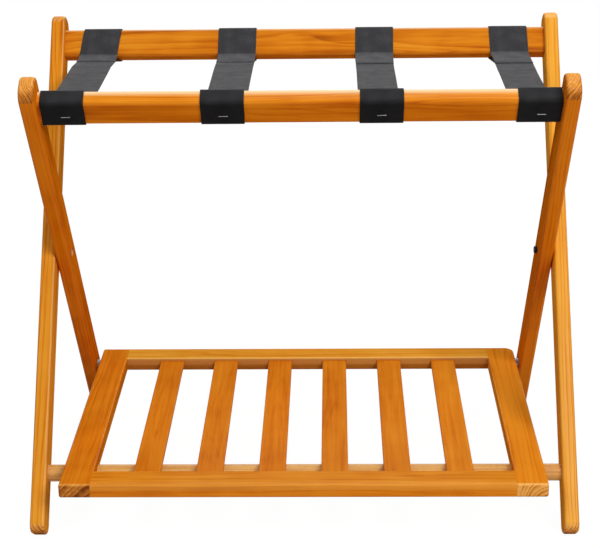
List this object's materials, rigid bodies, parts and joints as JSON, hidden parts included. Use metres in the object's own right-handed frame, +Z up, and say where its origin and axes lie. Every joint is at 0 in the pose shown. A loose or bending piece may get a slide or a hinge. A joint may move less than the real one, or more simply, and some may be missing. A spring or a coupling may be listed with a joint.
{
  "type": "folding luggage rack",
  "caption": "Folding wooden luggage rack: two crossed leg frames joined by webbing straps under the top rails, with a slatted shelf hinged between the inner legs.",
  "frame": {"origin": "on the floor, under the middle of the bounding box of the open rack", "axes": "+X to the right along the rails seen from the front, -Y to the front where the inner frame's top rail and the shelf's free edge are, +Z up"},
  "size_m": [0.6736, 0.4536, 0.5725],
  "materials": {
    "varnished_pine": "satin varnish, honey",
    "varnished_beech": "satin varnish, paler",
    "zinc_plated_steel": "satin",
    "brass": "satin",
    "blackened_steel": "satin",
    "nylon_webbing": "woven"
  },
  "bodies": {
    "outer_frame": {"outer_leg_left": "varnished_pine", "outer_leg_right": "varnished_pine", "rear_top_rail": "varnished_pine", "rear_rail_pins": "varnished_beech", "front_dowel": "varnished_beech", "pivot_bolt_left": "zinc_plated_steel", "pivot_bolt_right": "zinc_plated_steel", "pivot_washer_left": "zinc_plated_steel", "pivot_washer_right": "zinc_plated_steel", "pivot_sunk_nut_left": "zinc_plated_steel", "pivot_nut_right": "blackened_steel", "rear_staples": "zinc_plated_steel", "strap_1_rear_loop": "nylon_webbing", "strap_2_rear_loop": "nylon_webbing", "strap_3_rear_loop": "nylon_webbing", "strap_4_rear_loop": "nylon_webbing", "strap_1_span": "nylon_webbing", "strap_2_span": "nylon_webbing", "strap_3_span": "nylon_webbing", "strap_4_span": "nylon_webbing"},
    "inner_frame": {"inner_leg_left": "varnished_pine", "inner_leg_right": "varnished_pine", "front_top_rail": "varnished_pine", "front_rail_pins": "varnished_beech", "front_staples": "zinc_plated_steel", "shelf_hinge_bolt_left": "zinc_plated_steel", "shelf_hinge_bolt_right": "zinc_plated_steel", "shelf_hinge_spacer_left": "zinc_plated_steel", "shelf_hinge_spacer_right": "zinc_plated_steel", "strap_1_front_loop": "nylon_webbing", "strap_2_front_loop": "nylon_webbing", "strap_3_front_loop": "nylon_webbing", "strap_4_front_loop": "nylon_webbing"},
    "shelf": {"shelf_stile_left": "varnished_pine", "shelf_stile_right": "varnished_pine", "shelf_front_rail": "varnished_pine", "shelf_rear_rail": "varnished_pine", "shelf_pins": "varnished_beech", "shelf_hinge_bush_left": "brass", "shelf_hinge_bush_right": "brass", "shelf_slat_1": "varnished_pine", "shelf_slat_2": "varnished_pine", "shelf_slat_3": "varnished_pine", "shelf_slat_4": "varnished_pine", "shelf_slat_5": "varnished_pine", "shelf_slat_6": "varnished_pine"}
  },
  "joints": [
    {"name": "fold", "type": "hinge", "parent": "outer_frame", "child": "inner_frame", "pos_m": [0, 0.00919, 0.30149], "axis": [-1, 0, 0], "range_deg": [0, 63.5], "deforming": ["strap_1_span", "strap_2_span", "strap_3_span", "strap_4_span"]},
    {"name": "shelf_lift", "type": "hinge", "parent": "inner_frame", "child": "shelf", "pos_m": [0, 0.16442, 0.0798], "axis": [-1, 0, 0], "range_deg": [0, 55]}
  ]
}
